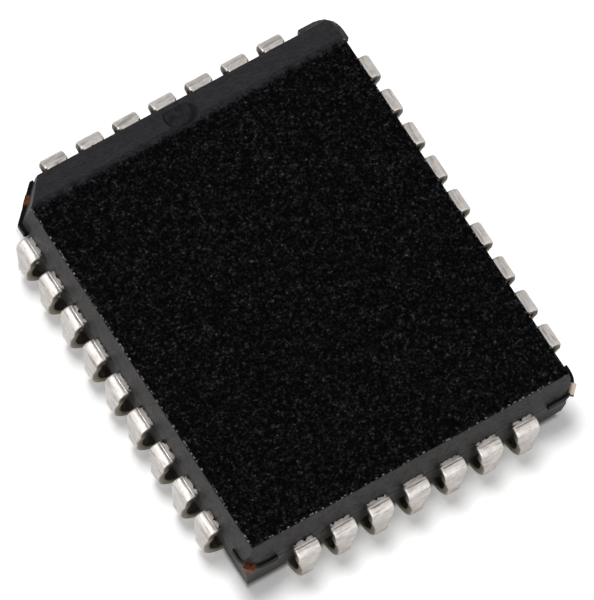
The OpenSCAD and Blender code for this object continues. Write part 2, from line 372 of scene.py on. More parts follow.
def moulded_body(resin):
    body = combine(lower_half(), frame_layer(), "UNION")
    for x_side, y_side in ((-1, -1), (1, -1), (1, 1), (-1, 1)):
        body = combine(body, corner_fin(x_side, y_side), "UNION")
    body = combine(body, upper_half(), "UNION")
    body = combine(body, underside_cutter(), "DIFFERENCE")
    under = -0.2
    profile = [(0, under), (EJECTOR_R, under), (EJECTOR_R, EJECTOR_DEPTH), (0, EJECTOR_DEPTH)]
    for end in (-1, 1):
        mark = turned(profile, (0, end * EJECTOR_SPACING / 2, BODY_BASE), "ejector_mark")
        body = combine(body, mark, "DIFFERENCE")
    return finish_body(body, resin)


# One lead as a swept strip

def spread(start, end, count):
    return [start + (end - start) * step / (count - 1) for step in range(count)]


def lead_stations():
    """Places along the strip from the finger's tip to the foot's tip.
    Each holds the point on the outer face, its outward normal (both as out and up), the width,
    and how far the outer face is pressed in there."""
    stations = []

    def add(out, up, normal_out, normal_up, width, pressed=0.0):
        stations.append((out, up, normal_out, normal_up, width, pressed))

    for out in spread(-FINGER_LEN, -FINGER_ROOT, 8):
        share = (out + FINGER_LEN) / (FINGER_LEN - FINGER_ROOT)
        add(out, SHOULDER_Z, 0, 1, FINGER_TIP_W + (SHOULDER_W - FINGER_TIP_W) * share)
    for out in spread(-WALL_START, DAM_BAR_AT - DAM_BAR_EASE, 6):
        add(out, SHOULDER_Z, 0, 1, SHOULDER_W)
    bend_out = LEAD_REACH - BEND_R
    bend_up = SHOULDER_Z - BEND_R
    for out in spread(DAM_BAR_AT + DAM_BAR_EASE, bend_out - CREASE_W, 4):
        add(out, SHOULDER_Z, 0, 1, BEND_W)
    add(bend_out - CREASE_W / 2, SHOULDER_Z, 0, 1, BEND_W, CREASE_DEPTH)
    for angle in spread(math.radians(90), 0, 11):
        out, up = math.cos(angle), math.sin(angle)
        add(bend_out + BEND_R * out, bend_up + BEND_R * up, out, up, BEND_W)
    for up in spread(bend_up - LEG_MARGIN, FOOT_R + LEG_MARGIN, 14):
        share = min(1, max(0, (TAPER_TOP_Z - up) / (TAPER_TOP_Z - TAPER_LOW_Z)))
        add(LEAD_REACH, up, 1, 0, BEND_W + (FOOT_W - BEND_W) * share)
    for angle in spread(0, -math.radians(90 + FOOT_CURL), 26):
        out, up = math.cos(angle), math.sin(angle)
        add(LEAD_REACH - FOOT_R + FOOT_R * out, FOOT_R + FOOT_R * up, out, up, FOOT_W)
    return stations


def strip_section(width, pressed):
    """Rounded section of the strip: (across, depth below the outer face, cut edge) points in order."""
    half = width / 2
    flank = []
    for angle in (30, 60):
        turn = math.radians(angle)
        inset = OUTER_EDGE_R * (1 - math.sin(turn))
        flank.append((half - inset, OUTER_EDGE_R * (1 - math.cos(turn)), 0.0))
    flank.append((half, OUTER_EDGE_R, 0.6))
    flank.append((half, LEAD_T - INNER_EDGE_R, 1.0))
    flank.append((half - INNER_EDGE_R, LEAD_T, 1.0))
    outer = [(share * (half - OUTER_EDGE_R), pressed, 0.0) for share in spread(-1, 1, 7)]
    inner = [(share * (half - INNER_EDGE_R), LEAD_T, 0.0) for share in spread(0.66, -0.66, 5)]
    other_flank = [(-across, depth, cut_edge) for across, depth, cut_edge in reversed(flank)]
    return outer + flank + inner + other_flank


def lead_strip():
    """One lead at the middle of its row: X along the row, Y out of the body from its side."""
    strip = bmesh.new()
    finger = strip.verts.layers.float.new("finger_share")
    cut = strip.verts.layers.float.new("cut_edge")
    uv_layer = strip.loops.layers.uv.new("strip_uv")
    travel = 0.0
    before = None
    rings = []
    for out, up, normal_out, normal_up, width, pressed in lead_stations():
        place = Vector((out, up))
        if before is not None:
            travel += (place - before).length
        before = place
        share = min(1, max(0, (-out - FINGER_ROOT) / (FINGER_LEN - FINGER_ROOT)))
        flat = normal_up > 0.99
        ring = []
        for across, depth, cut_edge in strip_section(width, pressed):
            vert = strip.verts.new((across, out - depth * normal_out, up - depth * normal_up))
            vert[finger] = share if flat else 0.0
            vert[cut] = cut_edge
            ring.append((vert, across, travel))
        rings.append(ring)
    uv_of = {vert: (across, along) for ring in rings for vert, across, along in ring}
    for ring, following in zip(rings, rings[1:]):
        for step in range(len(ring)):
            after = (step + 1) % len(ring)
            strip.faces.new([ring[step][0], ring[after][0], following[after][0], following[step][0]])
    strip.faces.new([entry[0] for entry in reversed(rings[0])])
    strip.faces.new([entry[0] for entry in rings[-1]])
    bmesh.ops.recalc_face_normals(strip, faces=strip.faces[:])
    for face in strip.faces:
        face.smooth = len(face.verts) == 4
        for loop in face.loops:
            loop[uv_layer].uv = uv_of[loop.vert]
    made = object_from(strip, "lead_strip")
    made.data.set_sharp_from_angle(angle=math.radians(36))
    return made


# Node helpers

def add_node(tree, kind, inputs=None, **settings):
    """Adds a node, sets its properties, and fills or links its inputs by name or place."""
    node = tree.nodes.new(kind)
    for name, value in settings.items():
        setattr(node, name, value)
    for key, value in (inputs or {}).items():
        socket = node.inputs[key]
        if isinstance(value, bpy.types.NodeSocket):
            tree.links.new(value, socket)
        else:
            socket.default_value = value
    return node


def math_node(tree, operation, first, second=0.0):
    return add_node(tree, "ShaderNodeMath", {0: first, 1: second}, operation=operation).outputs[0]


def product(tree, *values):
    result = values[0]
    for value in values[1:]:
        result = math_node(tree, "MULTIPLY", result, value)
    return result


def largest(tree, *values):
    result = values[0]
    for value in values[1:]:
        result = math_node(tree, "MAXIMUM", result, value)
    return result


def ranged(tree, value, low, high, to_low=0.0, to_high=1.0):
    """Value moved from one range to another and held at its ends."""
    ends = {0: value, 1: low, 2: high, 3: to_low, 4: to_high}
    return add_node(tree, "ShaderNodeMapRange", ends).outputs[0]


def vector_of(tree, **parts):
    """Vector from those of X, Y and Z that are given."""
    return add_node(tree, "ShaderNodeCombineXYZ", parts).outputs[0]


def parts_of(tree, vector):
    """X, Y and Z of a vector."""
    return add_node(tree, "ShaderNodeSeparateXYZ", {0: vector}).outputs


def vector_math(tree, operation, first, second):
    return add_node(tree, "ShaderNodeVectorMath", {0: first, 1: second}, operation=operation)


def noise(tree, vector, scale, detail, **more):
    inputs = {"Vector": vector, "Scale": scale, "Detail": detail, **more}
    return add_node(tree, "ShaderNodeTexNoise", inputs).outputs


def add_inputs(tree, sockets):
    """Gives a node tree named inputs: (name, socket type, default)."""
    for label, kind, default in sockets:
        socket = tree.interface.new_socket(label, in_out="INPUT", socket_type=kind)
        if default is not None:
            socket.default_value = default


# Geometry node trees

ROW_INPUTS = [
    ("Count", "NodeSocketInt", SHORT_ROW), ("Pitch", "NodeSocketFloat", PITCH),
    ("Side Distance", "NodeSocketFloat", HALF_Y), ("Turn", "NodeSocketFloat", 0.0),
    ("Seed", "NodeSocketInt", 1), ("Finish", "NodeSocketMaterial", None)]


def row_tree(name, sockets):
    """Geometry node tree for a row along one side: returns it and its inputs."""
    tree = bpy.data.node_groups.new(name, "GeometryNodeTree")
    tree.interface.new_socket("Geometry", in_out="INPUT", socket_type="NodeSocketGeometry")
    tree.interface.new_socket("Geometry", in_out="OUTPUT", socket_type="NodeSocketGeometry")
    add_inputs(tree, ROW_INPUTS + sockets)
    return tree, tree.nodes.new("NodeGroupInput").outputs


def set_along_row(tree, given, piece):
    """Instances of a piece, one for each lead of a row, from +X to -X."""
    gaps = math_node(tree, "SUBTRACT", given["Count"], 1.0)
    start = vector_of(tree, X=product(tree, gaps, given["Pitch"], 0.5))
    step = vector_of(tree, X=product(tree, given["Pitch"], -1.0))
    line = add_node(tree, "GeometryNodeMeshLine",
                    {"Count": given["Count"], "Start Location": start, "Offset": step}, mode="OFFSET")
    placed = add_node(tree, "GeometryNodeInstanceOnPoints",
                      {"Points": line.outputs["Mesh"], "Instance": piece})
    return placed.outputs[0]


def realized(tree, geometry):
    return add_node(tree, "GeometryNodeRealizeInstances", {"Geometry": geometry}).outputs[0]


def stored(tree, geometry, name, value):
    """Keeps a value on each instance under a name."""
    node = add_node(tree, "GeometryNodeStoreNamedAttribute",
                    {"Geometry": geometry, "Name": name, "Value": value},
                    data_type="FLOAT", domain="INSTANCE")
    return node.outputs[0]


def named_value(tree, name):
    return add_node(tree, "GeometryNodeInputNamedAttribute", {"Name": name}, data_type="FLOAT").outputs[0]


def shifted(tree, geometry, offset):
    return add_node(tree, "GeometryNodeSetPosition", {"Geometry": geometry, "Offset": offset}).outputs[0]


def transformed(tree, geometry, **change):
    return add_node(tree, "GeometryNodeTransform", {"Geometry": geometry, **change}).outputs[0]


def end_tree(tree, geometry, given):
    """Moves a row out to its side of the body, turns it there, and puts it out with its material."""
    moved = transformed(tree, geometry, Translation=vector_of(tree, Y=given["Side Distance"]))
    turn = add_node(tree, "FunctionNodeEulerToRotation", {0: vector_of(tree, Z=given["Turn"])})
    whole = realized(tree, transformed(tree, moved, Rotation=turn.outputs[0]))
    dressed = add_node(tree, "GeometryNodeSetMaterial", {"Geometry": whole, "Material": given["Finish"]})
    group_out = tree.nodes.new("NodeGroupOutput")
    tree.links.new(dressed.outputs[0], group_out.inputs[0])


def lead_row_tree():
    """Sets one strip along a row, draws the fingers together and dents the plating."""
    tree, given = row_tree("lead_row", [
        ("Finger Draw", "NodeSocketFloat", 0.5), ("Dent Depth", "NodeSocketFloat", 0.01),
        ("Dents Per Millimetre", "NodeSocketFloat", 2.5)])
    placed = set_along_row(tree, given, given["Geometry"])
    position = tree.nodes.new("GeometryNodeInputPosition").outputs[0]
    tone = add_node(tree, "FunctionNodeRandomValue", {"Seed": given["Seed"]}, data_type="FLOAT")
    named = stored(tree, placed, "row_offset", parts_of(tree, position)["X"])
    strips = realized(tree, stored(tree, named, "lead_tone", tone.outputs[1]))
    draw = math_node(tree, "SUBTRACT", given["Finger Draw"], 1.0)
    pull = product(tree, named_value(tree, "row_offset"), draw, named_value(tree, "finger_share"))
    drawn = shifted(tree, strips, vector_of(tree, X=pull))
    noise_start = vector_of(tree, Y=NOISE_START, Z=given["Seed"])
    noise_place = vector_math(tree, "ADD", position, noise_start).outputs[0]
    dents = noise(tree, noise_place, given["Dents Per Millimetre"], 3.0)["Color"]
    centred = vector_math(tree, "SUBTRACT", dents, (0.5, 0.5, 0.5)).outputs[0]
    dent = add_node(tree, "ShaderNodeVectorMath", {0: centred, "Scale": given["Dent Depth"]},
                    operation="SCALE")
    end_tree(tree, shifted(tree, drawn, dent.outputs[0]), given)
    return tree


def flash_tree():
    """Thin ragged resin that ran out over each lead's shoulder at the parting line."""
    tree, given = row_tree("parting_flash", [
        ("Width", "NodeSocketFloat", SHOULDER_W), ("Reach", "NodeSocketFloat", 0.05),
        ("Thickness", "NodeSocketFloat", 0.012), ("Teeth Per Millimetre", "NodeSocketFloat", 9.0)])
    half_depth = 0.05
    sunk = 0.002
    size = vector_of(tree, X=given["Width"], Y=2 * half_depth, Z=given["Thickness"])
    cake = add_node(tree, "GeometryNodeMeshCube",
                    {"Size": size, "Vertices X": 28, "Vertices Y": 3, "Vertices Z": 2}).outputs[0]
    cakes = realized(tree, set_along_row(tree, given, cake))
    parts = parts_of(tree, tree.nodes.new("GeometryNodeInputPosition").outputs[0])
    line = vector_of(tree, X=parts["X"], Y=given["Seed"])
    teeth = noise(tree, line, given["Teeth Per Millimetre"], 2.0)[0]
    ragged = ranged(tree, teeth, 0.48, 0.66, 0.005, given["Reach"])
    front = ranged(tree, parts["Y"], 0.0, half_depth)
    push = math_node(tree, "SUBTRACT", product(tree, ragged, front), product(tree, front, half_depth))
    shaped = shifted(tree, cakes, vector_of(tree, Y=push))
    level = math_node(tree, "ADD", product(tree, given["Thickness"], 0.5), SHOULDER_Z - sunk)
    end_tree(tree, transformed(tree, shaped, Translation=vector_of(tree, Z=level)), given)
    return tree


def run_tree(source, tree, values, name):
    """Runs a tree on an object with these input values and keeps the result as a plain mesh."""
    modifier = source.modifiers.new(tree.name, "NODES")
    modifier.node_group = tree
    for item in tree.interface.items_tree:
        if item.in_out == "INPUT" and item.name in values:
            modifier[item.identifier] = values[item.name]
    return made_plain(source, name)


# Shader nodes

def millimetres(tree):
    """Object coordinates in millimetres."""
    place = tree.nodes.new("ShaderNodeTexCoord").outputs["Object"]
    scaled = add_node(tree, "ShaderNodeMapping", {"Vector": place, "Scale": (1000.0, 1000.0, 1000.0)})
    return scaled.outputs[0]


def shader_group(name, inputs, outputs):
    """Group of shader nodes: returns it, its inputs and its outputs, which are all values."""
    group = bpy.data.node_groups.new(name, "ShaderNodeTree")
    add_inputs(group, [("Vector", "NodeSocketVector", None)])
    add_inputs(group, [(label, "NodeSocketFloat", default) for label, default in inputs])
    for label in outputs:
        group.interface.new_socket(label, in_out="OUTPUT", socket_type="NodeSocketFloat")
    return group, group.nodes.new("NodeGroupInput").outputs, group.nodes.new("NodeGroupOutput").inputs


def grain_group():
    """Sandy relief of filled resin: a height, and a slow mottle for colour and gloss."""
    group, given, out = shader_group(
        "sandy_grain", [("Grains Per Millimetre", 12.0), ("Coarse Share", 0.4)], ["Height", "Mottle"])
    fine = noise(group, given["Vector"], given["Grains Per Millimetre"], 3.0, Roughness=0.65)[0]
    coarse_scale = product(group, given["Grains Per Millimetre"], 0.35)
    coarse = noise(group, given["Vector"], coarse_scale, 2.0)[0]
    mixed = add_node(group, "ShaderNodeMix", {"Factor": given["Coarse Share"], 2: fine, 3: coarse},
                     data_type="FLOAT").outputs[0]
    group.links.new(mixed, out["Height"])
    group.links.new(noise(group, given["Vector"], 0.45, 4.0)[0], out["Mottle"])
    return group


def speck_group():
    """Scattered small specks: a mask that is 1 in a share of random cells."""
    group, given, out = shader_group(
        "specks", [("Specks Per Millimetre", 6.0), ("Share", 0.1), ("Radius", 0.25)], ["Mask"])
    cells = add_node(group, "ShaderNodeTexVoronoi",
                     {"Vector": given["Vector"], "Scale": given["Specks Per Millimetre"]}).outputs
    draw = add_node(group, "ShaderNodeSeparateColor", {0: cells["Color"]}).outputs[0]
    chosen = math_node(group, "LESS_THAN", draw, given["Share"])
    near = ranged(group, cells["Distance"], given["Radius"], 0.0)
    group.links.new(product(group, chosen, near), out["Mask"])
    return group


def scratch_group():
    """Fine lines along the strip's length, from a stretched noise."""
    group, given, out = shader_group(
        "drawn_lines", [("Lines Per Millimetre", 30.0), ("Length", 0.6)], ["Height", "Mask"])
    parts = parts_of(group, given["Vector"])
    across = product(group, parts["X"], given["Lines Per Millimetre"])
    along = math_node(group, "DIVIDE", parts["Y"], given["Length"])
    lines = noise(group, vector_of(group, X=across, Y=along, Z=parts["Z"]), 1.0, 2.0)[0]
    group.links.new(lines, out["Height"])
    group.links.new(ranged(group, lines, 0.62, 0.75), out["Mask"])
    return group


def blank_tree(holder):
    """Empty node tree of a material or a world."""
    holder.use_nodes = True
    holder.node_tree.nodes.clear()
    return holder.node_tree


def new_material(name):
    """Material with a Principled shader: returns it, its tree and the shader."""
    material = bpy.data.materials.new(name)
    tree = blank_tree(material)
    shader = tree.nodes.new("ShaderNodeBsdfPrincipled")
    out = tree.nodes.new("ShaderNodeOutputMaterial")
    tree.links.new(shader.outputs[0], out.inputs["Surface"])
    return material, tree, shader


def colour_mix(tree, factor, first, second):
    """Colour between two colours, each a socket or an RGB triple."""
    def full(value):
        return value if isinstance(value, bpy.types.NodeSocket) else (*value, 1.0)
    node = add_node(tree, "ShaderNodeMix", {0: factor, 6: full(first), 7: full(second)}, data_type="RGBA")
    return node.outputs[2]


def use_group(tree, group, vector, **inputs):
    """Uses a group at these coordinates. Inputs are named with _ for each space."""
    named = {name.replace("_", " "): value for name, value in inputs.items()}
    return add_node(tree, "ShaderNodeGroup", {"Vector": vector, **named}, node_tree=group).outputs


def finish(tree, shader, colour, roughness, height, bump):
    """Links the colour, the roughness and a bump of (strength, distance) to a shader."""
    tree.links.new(colour, shader.inputs["Base Color"])
    tree.links.new(roughness, shader.inputs["Roughness"])
    strength, distance = bump
    raised = add_node(tree, "ShaderNodeBump",
                      {"Height": height, "Strength": strength, "Distance": distance})
    tree.links.new(raised.outputs[0], shader.inputs["Normal"])


# Finishes

RESIN_DARK = (0.006, 0.006, 0.007)
# Slope and side tones are painted light: paler than the top for the light these faces catch, the lower
# side palest.
RESIN_SLOPE_LIT = (0.022, 0.022, 0.026)
RESIN_UPPER_SIDE_LIT = (0.081, 0.078, 0.077)
RESIN_LOWER_SIDE_LIT = (0.1, 0.093, 0.082)
# Pin 1 mark tones: painted light on the floor, painted shade on the wall.
RESIN_MARK_FLOOR_LIT = (0.026, 0.026, 0.03)
RESIN_MARK_WALL_SHADED = (0.012, 0.012, 0.014)
# Fins and flash: painted shade, kept black.
RESIN_FIN_SHADED = (0.005, 0.005, 0.006)
# Pale specks on the blasted top: filler grains painted as glints.
RESIN_FILLER_GLINT = (0.05, 0.05, 0.054)
# Painted highlight on the top edges.
RESIN_EDGE_HIGHLIGHT = (0.32, 0.32, 0.34)
TIN_DULL = (0.56, 0.522, 0.49)
TIN_BRIGHT = (0.78, 0.737, 0.706)
TIN_LINE = (0.4, 0.36, 0.31)
TIN_RUB = (0.22, 0.19, 0.165)
# Dark spots at the root: painted shade.
TIN_ROOT_SHADE = (0.03, 0.026, 0.022)
SHEARED_LOW = (0.25, 0.225, 0.165)
# The high tone is partly staining, partly painted shade under the shoulder.
SHEARED_HIGH_STAIN_AND_SHADE = (0.045, 0.038, 0.028)
# Copper tones: kept dark as painted shade, with tarnish patches between them.
COPPER_DARK_SHADED = (0.03, 0.01, 0.006)
COPPER_WARM_SHADED = (0.22, 0.08, 0.035)
COPPER_LINE = (0.5, 0.27, 0.15)
# Painted highlight on the cut end of one tie bar.
COPPER_PAINTED_HIGHLIGHT = (0.86, 0.76, 0.66)


def sandy_colour(tree, height):
    """Near-black that rises steeply with the height of the grain."""
    lowest = 0.3
    darkest = 0.00006
    steepness = 17.6
    blue_cast = 1.12
    rise = product(tree, math_node(tree, "SUBTRACT", height, lowest), steepness)
    level = product(tree, math_node(tree, "EXPONENT", rise), darkest)
    blue = product(tree, level, blue_cast)
    return add_node(tree, "ShaderNodeCombineColor", {0: level, 1: level, 2: blue}).outputs[0]


def off_mark_mask(tree, parts, across):
    """1 away from the pin 1 mark, seen from above."""
    reach = MARK_R + MARK_DEPTH * math.tan(math.radians(MARK_WALL)) + 0.1
    beside = math_node(tree, "GREATER_THAN", across, reach)
    behind = math_node(tree, "GREATER_THAN", parts["Y"], SLOPE_LOW_Y - 0.03)
    before = math_node(tree, "LESS_THAN", parts["Y"], HALF_Y - MARK_INSET - reach)
    return largest(tree, beside, behind, before)


def outside_mask(tree, parts, across, along):
    """1 on the resin that stands out past the outline, apart from the smeared corner."""
    past_x = ranged(tree, across, HALF_X + 0.006, HALF_X + 0.012)
    past_y = ranged(tree, along, HALF_Y + 0.006, HALF_Y + 0.012)
    pin1_line = HALF_X + HALF_Y - PIN1_CHAMFER
    towards_pin1 = math_node(tree, "SUBTRACT", parts["Y"], parts["X"])
    past_pin1 = ranged(tree, towards_pin1, pin1_line + 0.01, pin1_line + 0.02)
    smeared = product(tree, math_node(tree, "GREATER_THAN", parts["X"], HALF_X - SMEAR_SPAN),
                      math_node(tree, "GREATER_THAN", parts["Y"], HALF_Y - SMEAR_SPAN))
    past = largest(tree, past_x, past_y, past_pin1)
    return largest(tree, math_node(tree, "SUBTRACT", past, smeared), 0.0)


def edge_highlight_mask(tree, parts, across, grains):
    """Painted highlight in grains along the top edges of both long sides and of the far side."""
    top_x = HALF_X - TOP_INSET
    top_y = HALF_Y - TOP_INSET
    edge_x = ranged(tree, across, top_x - 0.05, top_x - 0.02)
    edge_y = ranged(tree, parts["Y"], 0.02 - top_y, 0.05 - top_y, 1.0, 0.0)
    high = ranged(tree, parts["Z"], BODY_TOP - 0.07, BODY_TOP - 0.04)
    return product(tree, largest(tree, edge_x, edge_y), high, grains)


def moulded_resin(groups):
    """Black resin: sandblasted on the top and underside, smoother on the slope and sides.
    The slope and the sides are painted paler than the top as painted light, the lower sides palest, and
    the blasted finish fades out raggedly towards the slope. The top edges show grains of painted
    highlight, the pin 1 mark has painted light on its floor and painted shade on its wall, and what
    stands out past the outline, the fins and the flash, is painted dark and dull as painted shade. Sparse
    pale specks on the blasted top are filler grains painted as glints."""
    material, tree, shader = new_material("moulded_resin")
    place = millimetres(tree)
    parts = parts_of(tree, place)
    across = math_node(tree, "ABSOLUTE", parts["X"])
    along = math_node(tree, "ABSOLUTE", parts["Y"])
    sand = use_group(tree, groups["grain"], place, Grains_Per_Millimetre=12.0, Coarse_Share=0.22)
    skin = use_group(tree, groups["grain"], place, Grains_Per_Millimetre=11.0, Coarse_Share=0.4)
    filler_glints = use_group(tree, groups["specks"], place, Specks_Per_Millimetre=8.0, Share=0.05, Radius=0.3)
    grains = use_group(tree, groups["specks"], place, Specks_Per_Millimetre=10.0, Share=0.6, Radius=0.55)

    ragged = math_node(tree, "ADD", parts["Y"], ranged(tree, skin["Height"], 0.3, 0.7, -0.15, 0.15))
    before_slope = ranged(tree, ragged, SLOPE_TOP_Y - 0.25, SLOPE_TOP_Y - 0.07, 1.0, 0.0)
    slope_drop = ranged(tree, parts["Y"], SLOPE_TOP_Y, SLOPE_LOW_Y, 0.0, SLOPE_DROP)
    level = math_node(tree, "ADD", parts["Z"], slope_drop)
    at_top = ranged(tree, level, BODY_TOP - 0.05, BODY_TOP - 0.01)
    base_high = BODY_BASE + EJECTOR_DEPTH
    at_base = ranged(tree, parts["Z"], base_high + 0.01, base_high + 0.03, 1.0, 0.0)
    blasted = largest(tree, product(tree, before_slope, at_top), at_base)
    low = ranged(tree, level, BODY_TOP - 0.1, BODY_TOP - 0.04, 1.0, 0.0)
    on_side = product(tree, low, off_mark_mask(tree, parts, across))
    in_mark = math_node(tree, "SUBTRACT", low, on_side)
    below = ranged(tree, parts["Z"], SHOULDER_UNDER - 0.08, SHOULDER_UNDER - 0.02, 1.0, 0.0)
    outside = outside_mask(tree, parts, across, along)
    edge_highlight = edge_highlight_mask(tree, parts, across, grains["Mask"])

    # Painted glints: sparse pale specks on the blasted top, filler grains painted bright.
    sandy = colour_mix(tree, filler_glints["Mask"], sandy_colour(tree, sand["Height"]), RESIN_FILLER_GLINT)
    # Painted light: the upper and lower sides and the slope get paler tones than the top. The lower sides
    # are painted palest, as if lit from the floor.
    side_painted_light = colour_mix(tree, below, RESIN_UPPER_SIDE_LIT, RESIN_LOWER_SIDE_LIT)
    # Painted light and shade in the pin 1 mark: the floor is painted lighter and the wall darker.
    mark_floor = BODY_TOP - MARK_DEPTH
    up_mark = ranged(tree, parts["Z"], mark_floor + 0.01, mark_floor + 0.12)
    mark_light_and_shade = colour_mix(tree, up_mark, RESIN_MARK_FLOOR_LIT, RESIN_MARK_WALL_SHADED)
    skin_painted_light = colour_mix(tree, on_side, RESIN_SLOPE_LIT, side_painted_light)
    skin_painted_light = colour_mix(tree, in_mark, skin_painted_light, mark_light_and_shade)
    paleness = ranged(tree, skin["Height"], 0.36, 0.66, product(tree, on_side, 0.24), 1.0)
    smooth = colour_mix(tree, paleness, RESIN_DARK, skin_painted_light)
    plain = colour_mix(tree, blasted, smooth, sandy)
    # Painted shade: what stands out past the outline, the fins and the flash, is kept black instead of
    # getting the paler side tone.
    shaded_outside = colour_mix(tree, outside, plain, RESIN_FIN_SHADED)
    # Painted highlight: pale grains along the top edges.
    colour = colour_mix(tree, edge_highlight, shaded_outside, RESIN_EDGE_HIGHLIGHT)

    skin_gloss = ranged(tree, skin["Height"], 0.35, 0.65, 0.36, 0.48)
    roughness = ranged(tree, blasted, 0.0, 1.0, skin_gloss, 0.57)
    skin_shine = ranged(tree, parts["Y"], SLOPE_TOP_Y, SLOPE_TOP_Y + 0.1, 0.11, 0.08)
    shine = ranged(tree, blasted, 0.0, 1.0, skin_shine, 0.02)
    # The fins and the flash shine little, as part of their painted shade.
    tree.links.new(ranged(tree, outside, 0.0, 1.0, shine, 0.04), shader.inputs["Specular IOR Level"])
    skin_height = product(tree, skin["Height"], 1.2)
    height = ranged(tree, blasted, 0.0, 1.0, skin_height, sand["Height"])
    finish(tree, shader, colour, roughness, height, (0.7, 0.00003))
    return material


def tin_plating(groups):
    """Bright tin over the strip, with drawn lines along it and rubs across it, and painted shade in dark
    spots at the root.
    The sheared edges are grey-brown and darken upwards, partly staining and partly painted shade under
    the shoulder."""
    material, tree, shader = new_material("tin_plating")
    place = millimetres(tree)
    strip = add_node(tree, "ShaderNodeUVMap", uv_map="strip_uv").outputs[0]
    tone = add_node(tree, "ShaderNodeAttribute", attribute_name="lead_tone").outputs["Fac"]
    cut = add_node(tree, "ShaderNodeAttribute", attribute_name="cut_edge").outputs["Fac"]
    apart = product(tree, tone, 37.0)
    own = vector_math(tree, "ADD", strip, vector_of(tree, Z=apart)).outputs[0]
    parts = parts_of(tree, own)
    crosswise = vector_of(tree, X=parts["Y"], Y=parts["X"], Z=parts["Z"])
    lines = use_group(tree, groups["scratches"], own)
    rubs = use_group(tree, groups["scratches"], crosswise, Lines_Per_Millimetre=15.0, Length=0.5)
    grain = use_group(tree, groups["grain"], place, Grains_Per_Millimetre=9.0, Coarse_Share=0.6)
    root_shade_spots = use_group(tree, groups["specks"], own, Specks_Per_Millimetre=6.0, Share=0.3, Radius=0.4)

    # Painted shade: dark spots where the lead leaves the body.
    at_root = ranged(tree, parts["Y"], FINGER_LEN + 0.05, FINGER_LEN + 0.16, 0.9, 0.0)
    bright = colour_mix(tree, ranged(tree, grain["Height"], 0.35, 0.65), TIN_DULL, TIN_BRIGHT)
    lined = colour_mix(tree, product(tree, lines["Mask"], 0.4), bright, TIN_LINE)
    rubbed = colour_mix(tree, ranged(tree, rubs["Height"], 0.52, 0.7, 0.0, 0.62), lined, TIN_RUB)
    root_shaded = colour_mix(tree, product(tree, root_shade_spots["Mask"], at_root), rubbed, TIN_ROOT_SHADE)
    # Partly painted shade: the sheared edges darken towards the shoulder.
    upwards = ranged(tree, parts_of(tree, place)["Z"], TAPER_LOW_Z + 0.4, SHOULDER_UNDER)
    sheared_stain_and_shade = colour_mix(tree, upwards, SHEARED_LOW, SHEARED_HIGH_STAIN_AND_SHADE)
    colour = colour_mix(tree, cut, root_shaded, sheared_stain_and_shade)

    plated = ranged(tree, grain["Height"], 0.3, 0.7, 0.28, 0.46)
    roughness = ranged(tree, cut, 0.2, 0.6, plated, 0.7)
    shader.inputs["Metallic"].default_value = 1.0
    height = math_node(tree, "ADD", product(tree, rubs["Height"], 1.2), grain["Height"])
    finish(tree, shader, colour, roughness, height, (0.4, 0.00001))
    return material


def bare_copper(groups):
    """Copper alloy of the tie bars and the die paddle, darkened in patches of tarnish and kept dark
    overall as painted shade under the upper half.
    The tie bar at the corner between the far and right sides has a painted highlight on the upper part of
    its cut end."""
    material, tree, shader = new_material("bare_copper")
    place = millimetres(tree)
    parts = parts_of(tree, place)
    grain = use_group(tree, groups["grain"], place, Grains_Per_Millimetre=8.0, Coarse_Share=0.5)
    lines = use_group(tree, groups["scratches"], place, Lines_Per_Millimetre=22.0)
    # Tarnish patches, with both tones kept dark as painted shade.
    tarnish_and_shade = colour_mix(tree, ranged(tree, grain["Height"], 0.35, 0.6), COPPER_DARK_SHADED, COPPER_WARM_SHADED)
    tinted = colour_mix(tree, product(tree, lines["Mask"], 0.4), tarnish_and_shade, COPPER_LINE)
    outwards = math_node(tree, "SUBTRACT", parts["X"], parts["Y"])
    corner = HALF_X + HALF_Y
    # Painted highlight: the upper part of the cut end at the corner between the far and right sides.
    highlight_end = ranged(tree, outwards, corner - 0.25, corner - 0.1, 0.0, 0.85)
    upper = ranged(tree, parts["Z"], SHOULDER_Z - 0.12, SHOULDER_Z - 0.08)
    colour = colour_mix(tree, product(tree, highlight_end, upper), tinted, COPPER_PAINTED_HIGHLIGHT)
    roughness = ranged(tree, grain["Mottle"], 0.3, 0.7, 0.3, 0.5)
    shader.inputs["Metallic"].default_value = 1.0
    finish(tree, shader, colour, roughness, grain["Height"], (0.4, 0.00002))
    return material


def inner_material(groups, name, dull, bright, metallic, smoothest):
    """Finish of a piece inside the body: two tones through the grain, with a light bump."""
    material, tree, shader = new_material(name)
    grain = use_group(tree, groups["grain"], millimetres(tree), Grains_Per_Millimetre=14.0)
    colour = colour_mix(tree, grain["Height"], dull, bright)
    roughness = ranged(tree, grain["Height"], 0.3, 0.7, smoothest, smoothest + 0.12)
    shader.inputs["Metallic"].default_value = metallic
    finish(tree, shader, colour, roughness, grain["Height"], (0.2, 0.00001))
    return material


# Stage, light and camera

WHITE = (1.0, 1.0, 1.0, 1.0)
LAMP_DISTANCE = 0.4
PAPER = (0.9, 0.9, 0.9, 1.0)


